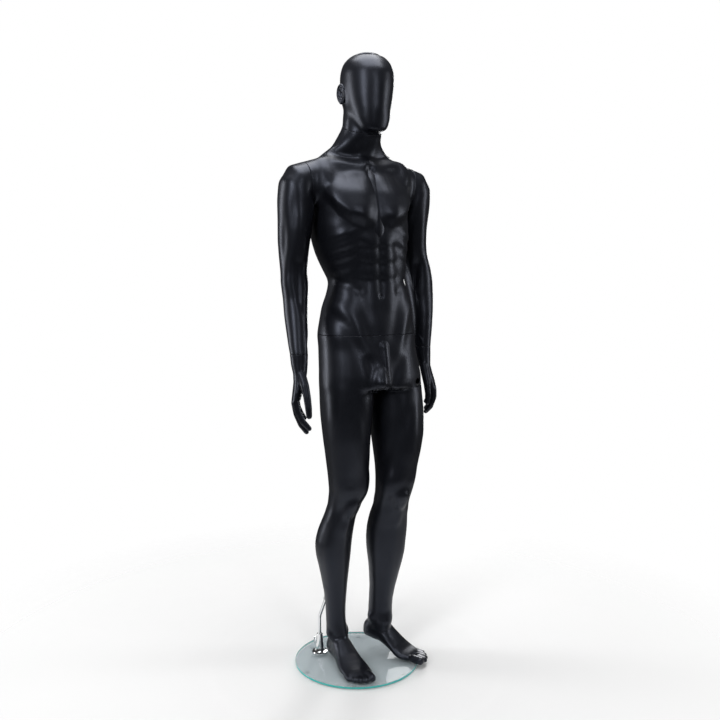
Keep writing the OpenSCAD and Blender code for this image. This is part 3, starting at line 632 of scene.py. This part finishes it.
def ear(side, black):
    """A closed ear: a rolled rim, the ridge inside it, a hollow and a lobe, leaning off the head."""
    rings, steps = 22, 64
    verts, faces = [], []
    centre = ear_middle(side)
    for shell in (1, -1):
        for i in range(rings + 1):
            r = i / rings
            for k in range(steps):
                a = 2 * math.pi * k / steps
                back, up = math.cos(a), math.sin(a)
                taper = 1 - 0.22 * max(0, -up) ** 1.5
                y = EAR_WIDE * r * back * taper + 2 * MM * up
                z = EAR_TALL * r * up
                off = (3 + 9 * (0.5 + 0.5 * back * r)) * MM
                if shell == 1:
                    rolled = 0.35 + 0.65 * (back > -0.4 or up > 0.3)
                    roll = 4.2 * math.exp(-((r - 0.86) / 0.1) ** 2) * rolled
                    ridge = 2.2 * math.exp(-((r - 0.56) / 0.1) ** 2) * (back > -0.2)
                    bowl = -5.5 * math.exp(-((y / MM + 2) / 6) ** 2 - ((z / MM + 3) / 9) ** 2)
                    off += (roll + ridge + bowl) * MM
                else:
                    off -= 3.4 * MM * math.sqrt(max(0, 1 - r ** 3))
                    off -= 4 * MM * (1 - r)
                verts.append((centre[0] + side * (off - 3 * MM), centre[1] + y, centre[2] + z))
    ring = (rings + 1) * steps
    for shell in (0, 1):
        for i in range(rings):
            for k in range(steps):
                a, b = i * steps + k, i * steps + (k + 1) % steps
                faces.append(tuple(shell * ring + v for v in (a, b, b + steps, a + steps)))
    for k in range(steps):
        a, b = rings * steps + k, rings * steps + (k + 1) % steps
        faces.append((a, b, b + ring, a + ring))
    name = ("right" if side < 0 else "left") + "_ear"
    mesh = bpy.data.meshes.new(name)
    mesh.from_pydata(verts, [], faces)
    bm = bmesh.new()
    bm.from_mesh(mesh)
    bmesh.ops.remove_doubles(bm, verts=bm.verts, dist=1e-5)
    for turn in range(2):
        bmesh.ops.smooth_vert(bm, verts=bm.verts, factor=0.5, use_axis_x=True, use_axis_y=True,
                              use_axis_z=True)
    bmesh.ops.recalc_face_normals(bm, faces=bm.faces)
    bm.to_mesh(mesh)
    bm.free()
    mesh.polygons.foreach_set("use_smooth", np.ones(len(mesh.polygons), bool))
    mesh.materials.append(black)
    obj = bpy.data.objects.new(name, mesh)
    bpy.context.scene.collection.objects.link(obj)
    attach(obj, "head")


def normal_faces_in(points, quads):
    """Whether the faces are wound so that their normals point inwards."""
    p = points[quads]
    return float((np.cross(p[:, 1] - p[:, 0], p[:, 2] - p[:, 0]) * p[:, 0]).sum()) < 0


DOWN = (0, 0, -1)
UP = (0, 0, 1)
NECK_AXIS = joint_axis("neck_turn")
SHOULDER_AXIS = {-1: joint_axis("right_shoulder_turn"), 1: -joint_axis("left_shoulder_turn")}
# The shoulder planes cut the torso only above the armpits.
ARMPIT = SHOULDER[1][2] - 0.135
# The inner side of the left thigh.
INNER_THIGH = WAIST[0] + 12 * MM


def build_skin(black):
    """All the skins and the ears. Knees, ankles and crotch are heights in mm."""
    torso_back = {side: (SHOULDER[side], SHOULDER_AXIS[side], lambda c, s=side: (c[:, 2] > ARMPIT) &
                         ((c[:, 0] - WAIST[0]) * s > 0)) for side in (-1, 1)}
    crotch = THIGH[2] / MM + 6
    knees = {-1: 500, 1: 520}
    ankles = {-1: 92, 1: 118}

    def torso(p, n):
        return torso_relief(p, n) + hips_relief(p, n)

    def hips(p, n):
        leg = p[:, 2] < THIGH[2]
        own = leg & (p[:, 0] < INNER_THIGH)
        out = hips_relief(p, n) + torso_relief(p, n) * step(p[:, 2], WAIST[2] - .2, WAIST[2] - .1)
        part = np.where(own, leg_relief(p, own, -1, knees[-1], ankles[-1], crotch), 0)
        fade = 1 - step(p[:, 2], THIGH[2] - .06, THIGH[2])
        across, up = (p[:, 0] - WAIST[0] - .010) / .011, (p[:, 2] - THIGH[2]) / .016
        lift = -12 * np.exp(-0.5 * across ** 2 - 0.5 * up ** 2) * step(-n[:, 2], 0.1, 0.6)
        return out * step(p[:, 2], THIGH[2] - .1, THIGH[2] - .02) + part * fade + lift

    def left_leg(p, n):
        own = (p[:, 0] > INNER_THIGH) & (p[:, 2] < THIGH[2])
        fade = 1 - step(p[:, 2], THIGH[2] - .06, THIGH[2])
        return np.where(own, leg_relief(p, own, 1, knees[1], ankles[1], crotch) * fade, 0) + \
            hips_relief(p, n) * step(p[:, 2], THIGH[2] - .1, THIGH[2] - .02)

    def head(p, n):
        return head_relief(p, n) * step(p[:, 2], NECK[2] + .02, NECK[2] + .05) + \
            neck_relief(p, n) * (1 - step(p[:, 2], NECK[2] + .02, NECK[2] + .05))

    def foot_weight(p):
        return 0.1 + 0.9 * step(p[:, 2], .07, .16)

    out = [
        piece("torso_skin", ["torso_shell", "head_shell", "hips_right_leg_shell", "right_arm_shell",
                             "left_arm_shell"], "torso_shell", "torso", 2.4 * MM, 14 * MM,
              [(NECK, NECK_AXIS), (WAIST, DOWN), torso_back[-1], torso_back[1]], torso),
        piece("head_skin", ["head_shell", "torso_shell"], "head_shell", "head", 1.8 * MM, 12 * MM,
              [(NECK, -NECK_AXIS)], head, trim=trim_ears),
        piece("hips_right_leg_skin", ["hips_right_leg_shell", "torso_shell", "left_leg_shell"],
              "hips_right_leg_shell", "figure", 2.3 * MM, 12 * MM,
              [(WAIST, UP), (THIGH, DOWN, lambda c: c[:, 0] > INNER_THIGH)], hips, foot_weight,
              plugs=["calf_socket", "support_rod"]),
        piece("left_leg_skin", ["left_leg_shell", "hips_right_leg_shell"], "left_leg_shell", "left_leg",
              2.1 * MM, 11 * MM, [(THIGH, UP)], left_leg, foot_weight),
    ]
    for side, word in [(-1, "right"), (1, "left")]:
        def arm(p, n, s=side):
            outer = (p - SHOULDER[s]) @ SHOULDER_AXIS[s]
            own = outer > 0
            return np.where(own, arm_relief(p, own, s), 0) * step(outer, 0, .03) + \
                torso_relief(p, n) * (1 - step(outer, -.005, .03))
        out.append(piece(word + "_arm_skin", [word + "_arm_shell", "torso_shell", word + "_hand"],
                         word + "_arm_shell", word + "_arm", 2.0 * MM, 9 * MM,
                         [(SHOULDER[side], -SHOULDER_AXIS[side]), (WRIST[side], DOWN)], arm))
        out.append(piece(word + "_hand_skin", [word + "_hand", word + "_arm_shell"], word + "_hand",
                         word + "_hand", 1.3 * MM, 2.6 * MM, [(WRIST[side], UP)], plain))
    for obj in out:
        obj.data.materials.append(black)
    for side in (-1, 1):
        ear(side, black)


# ---------------------------------------------------------------- materials

def new_material(name):
    mat = bpy.data.materials.new(name)
    mat.use_nodes = True
    return mat, mat.node_tree, mat.node_tree.nodes["Principled BSDF"]


def noise(tree, scale, detail, lo, hi):
    """Noise in the object's own space, and the same noise spread from lo to hi."""
    coord = tree.nodes.new("ShaderNodeTexCoord")
    tex = tree.nodes.new("ShaderNodeTexNoise")
    tex.inputs["Scale"].default_value = scale
    tex.inputs["Detail"].default_value = detail
    tree.links.new(coord.outputs["Object"], tex.inputs["Vector"])
    ramp = tree.nodes.new("ShaderNodeMapRange")
    ramp.inputs["To Min"].default_value = lo
    ramp.inputs["To Max"].default_value = hi
    tree.links.new(tex.outputs["Fac"], ramp.inputs["Value"])
    return tex, ramp


def mix_colour(tree, fac, first, second):
    mix = tree.nodes.new("ShaderNodeMix")
    mix.data_type = "RGBA"
    mix.inputs["A"].default_value = (*first, 1)
    mix.inputs["B"].default_value = (*second, 1)
    tree.links.new(fac, mix.inputs["Factor"])
    return mix.outputs["Result"]


def bump(tree, shader, height, strength, distance):
    node = tree.nodes.new("ShaderNodeBump")
    node.inputs["Strength"].default_value = strength
    node.inputs["Distance"].default_value = distance
    tree.links.new(height, node.inputs["Height"])
    tree.links.new(node.outputs["Normal"], shader.inputs["Normal"])


def lacquer(name, dark, pale, rough, grain, sheen=(1, 1, 1)):
    """Sprayed lacquer: orange peel, a little haze, slightly uneven gloss, and reflections tinted by sheen."""
    mat, tree, shader = new_material(name)
    haze, fac = noise(tree, 9, 4, 0, 1)
    tree.links.new(mix_colour(tree, fac.outputs["Result"], dark, pale), shader.inputs["Base Color"])
    _, gloss = noise(tree, 26, 5, rough - 0.03, rough + 0.04)
    tree.links.new(gloss.outputs["Result"], shader.inputs["Roughness"])
    peel, _ = noise(tree, grain, 2, 0, 1)
    bump(tree, shader, peel.outputs["Fac"], 0.10, 0.0003)
    shader.inputs["Specular Tint"].default_value = (*sheen, 1)
    return mat


def metal(name, colour, rough, scale):
    """Plated or brushed metal with fine marks."""
    mat, tree, shader = new_material(name)
    _, fac = noise(tree, scale / 8, 4, 0, 1)
    tree.links.new(mix_colour(tree, fac.outputs["Result"], colour, [c * 0.86 for c in colour]),
                   shader.inputs["Base Color"])
    _, gloss = noise(tree, scale, 6, rough - 0.03, rough + 0.06)
    tree.links.new(gloss.outputs["Result"], shader.inputs["Roughness"])
    marks, _ = noise(tree, scale * 3, 3, 0, 1)
    bump(tree, shader, marks.outputs["Fac"], 0.06, 0.0002)
    shader.inputs["Metallic"].default_value = 1
    return mat


def clear(name, tint, rough, solid):
    """Glass or clear rubber, with faint smudges. solid is how much of what lies behind it hides."""
    mat, tree, shader = new_material(name)
    _, gloss = noise(tree, 14, 5, rough, rough + 0.03)
    tree.links.new(gloss.outputs["Result"], shader.inputs["Roughness"])
    _, fac = noise(tree, 5, 3, 0, 1)
    tree.links.new(mix_colour(tree, fac.outputs["Result"], tint, [c * 0.985 for c in tint]),
                   shader.inputs["Base Color"])
    wave, _ = noise(tree, 30, 2, 0, 1)
    bump(tree, shader, wave.outputs["Fac"], 0.02, 0.0002)
    shader.inputs["Alpha"].default_value = solid
    shader.inputs["IOR"].default_value = 1.52
    return mat


# ---------------------------------------------------------------- the stand

def lathe(name, profile, steps, centre):
    """Turns a closed profile of (radius, height) round the upright through the centre."""
    mesh = bpy.data.meshes.new(name)
    verts, faces = [], []
    n = len(profile)
    for i in range(steps):
        a = 2 * math.pi * i / steps
        verts += [(centre[0] + r * math.cos(a), centre[1] + r * math.sin(a), z) for r, z in profile]
    for i in range(steps):
        j = (i + 1) % steps
        for k in range(n - 1):
            faces.append((i * n + k, j * n + k, j * n + k + 1, i * n + k + 1))
    faces.append([i * n for i in range(steps)][::-1])
    faces.append([i * n + n - 1 for i in range(steps)])
    mesh.from_pydata(verts, [], faces)
    bm = bmesh.new()
    bm.from_mesh(mesh)
    bmesh.ops.recalc_face_normals(bm, faces=bm.faces)
    bm.to_mesh(mesh)
    bm.free()
    mesh.polygons.foreach_set("use_smooth", np.ones(len(mesh.polygons), bool))
    mesh.set_sharp_from_angle(angle=math.radians(30))
    obj = bpy.data.objects.new(name, mesh)
    bpy.context.scene.collection.objects.link(obj)
    return obj


def glass_base(glass, glass_edge):
    """The disc has a ground and polished round edge, which lights up blue-green."""
    low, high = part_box("glass_disc")
    radius, middle = (high[0] - low[0]) / 2, (low[0] + high[0]) / 2
    r = 1.6 * MM
    under = [math.radians(a) for a in (-90, -60, -30, 0)]
    over = [math.radians(a) for a in (0, 30, 60, 90)]
    edge = [(radius - r + r * math.cos(a), low[2] + r + r * math.sin(a)) for a in under]
    edge += [(radius - r + r * math.cos(a), high[2] - r + r * math.sin(a)) for a in over]
    obj = lathe("glass_base", edge, 192, (middle, middle))
    obj.data.materials.append(glass)
    obj.data.materials.append(glass_edge)
    for face in obj.data.polygons:
        if abs(face.normal.z) < 0.5:
            face.material_index = 1
    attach(obj, "base")
    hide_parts("glass_disc")
    return obj


def finish_nodes(looks):
    """CAD pieces that stay get a material by their record slot."""
    for node, obj in frame["nodes"].items():
        for slot in obj.material_slots:
            for key, mat in looks.items():
                if slot.material and slot.material.name.startswith(key):
                    slot.material = mat
                    break


# ---------------------------------------------------------------- the studio

def area_light(name, place, target, size, power, colour=(1, 1, 1)):
    data = bpy.data.lights.new(name, "AREA")
    data.shape = "RECTANGLE"
    data.size, data.size_y = size
    data.energy = power
    data.color = colour
    obj = bpy.data.objects.new(name, data)
    obj.location = place
    obj.rotation_euler = (Vector(target) - Vector(place)).to_track_quat("-Z", "Y").to_euler()
    bpy.context.scene.collection.objects.link(obj)


# The white world's strength for everything but the camera's own rays, and where the floor fades into it.
ROOM_GLOW = 0.05
FADE_FROM = 0.45
FLOOR_R = 1.5


def studio():
    """A pale floor that fades into a white world, and soft area lights round the figure."""
    world = bpy.data.worlds.new("studio")
    scene = bpy.context.scene
    scene.world = world
    scene.view_settings.view_transform = "Standard"
    world.use_nodes = True
    tree = world.node_tree
    back = tree.nodes["Background"]
    back.inputs["Color"].default_value = (1, 1, 1, 1)
    path = tree.nodes.new("ShaderNodeLightPath")
    level = tree.nodes.new("ShaderNodeMapRange")
    level.inputs["To Min"].default_value = ROOM_GLOW
    level.inputs["To Max"].default_value = 1.0
    tree.links.new(path.outputs["Is Camera Ray"], level.inputs["Value"])
    tree.links.new(level.outputs["Result"], back.inputs["Strength"])
    floor = bpy.data.meshes.new("floor")
    steps = 96
    turns = [2 * math.pi * i / steps for i in range(steps)]
    rim_points = [(FLOOR_R * math.cos(a), FLOOR_R * math.sin(a), 0) for a in turns]
    floor.from_pydata(rim_points, [], [tuple(range(steps))])
    obj = bpy.data.objects.new("floor", floor)
    scene.collection.objects.link(obj)
    mat, tree, shader = new_material("floor_paint")
    _, fac = noise(tree, 2, 3, 0, 1)
    tree.links.new(mix_colour(tree, fac.outputs["Result"], (.86, .86, .86), (.9, .9, .9)),
                   shader.inputs["Base Color"])
    shader.inputs["Roughness"].default_value = 0.7
    coord = tree.nodes.new("ShaderNodeTexCoord")
    far = tree.nodes.new("ShaderNodeVectorMath")
    far.operation = "LENGTH"
    tree.links.new(coord.outputs["Object"], far.inputs[0])
    fade = tree.nodes.new("ShaderNodeMapRange")
    fade.inputs["From Min"].default_value = FADE_FROM
    fade.inputs["From Max"].default_value = FLOOR_R
    fade.inputs["To Min"].default_value = 1
    fade.inputs["To Max"].default_value = 0
    tree.links.new(far.outputs["Value"], fade.inputs["Value"])
    tree.links.new(fade.outputs["Result"], shader.inputs["Alpha"])
    floor.materials.append(mat)
    obj.location.z = -0.2 * MM
    chest = (0, 0, 1.2)
    area_light("key", (-2.4, -1.5, 2.4), chest, (0.6, 1.8), 34)
    area_light("front", (-0.3, -3.2, 2.4), chest, (0.5, 1.7), 14)
    area_light("fill", (2.6, -1.2, 1.5), chest, (0.5, 2.2), 20)
    area_light("overhead", (0, 0, 3.2), (0, 0, 0), (1.8, 1.8), 62)
    area_light("rim_left", (-2.2, 1.6, 1.4), chest, (0.6, 2.4), 34)
    area_light("rim_right", (1.8, 2.0, 1.4), chest, (0.6, 2.4), 34)


def camera():
    """Stands level with the chest, to the figure's right, and looks slightly down."""
    data = bpy.data.cameras.new("camera")
    data.sensor_width = 36
    data.lens = 42.5
    obj = bpy.data.objects.new("camera", data)
    distance, azimuth, height, pitch = 2.541, 28, 1.217, 6.12
    a = math.radians(azimuth)
    obj.location = (-distance * math.sin(a) + 0.010, -distance * math.cos(a) - 0.005, height)
    obj.rotation_euler = (math.radians(90 - pitch), 0, -a)
    bpy.context.scene.collection.objects.link(obj)
    bpy.context.scene.camera = obj


camera()
studio()
BLACK = lacquer("black_lacquer", (.0042, .0046, .0066), (.006, .0066, .0092), 0.36, 900, (.7, .76, .95))
PLATE = lacquer("dark_plate", (.03, .03, .032), (.045, .045, .048), 0.5, 600)
STEEL = metal("brushed_steel_look", (.56, .57, .58), 0.3, 240)
CHROME = metal("chrome_look", (.88, .89, .9), 0.08, 160)
GLASS = clear("glass_look", (.52, .62, .66), 0.02, 0.34)
GLASS_EDGE = clear("glass_edge_look", (.03, .50, .46), 0.12, 0.88)
RUBBER = clear("clear_rubber_look", (.7, .72, .72), 0.25, 0.55)
build_skin(BLACK)
glass_base(GLASS, GLASS_EDGE)
finish_nodes({"inner_plate": PLATE, "fitting_steel": STEEL, "chrome": CHROME, "glass": GLASS,
              "clear_rubber": RUBBER, "body_black": BLACK})
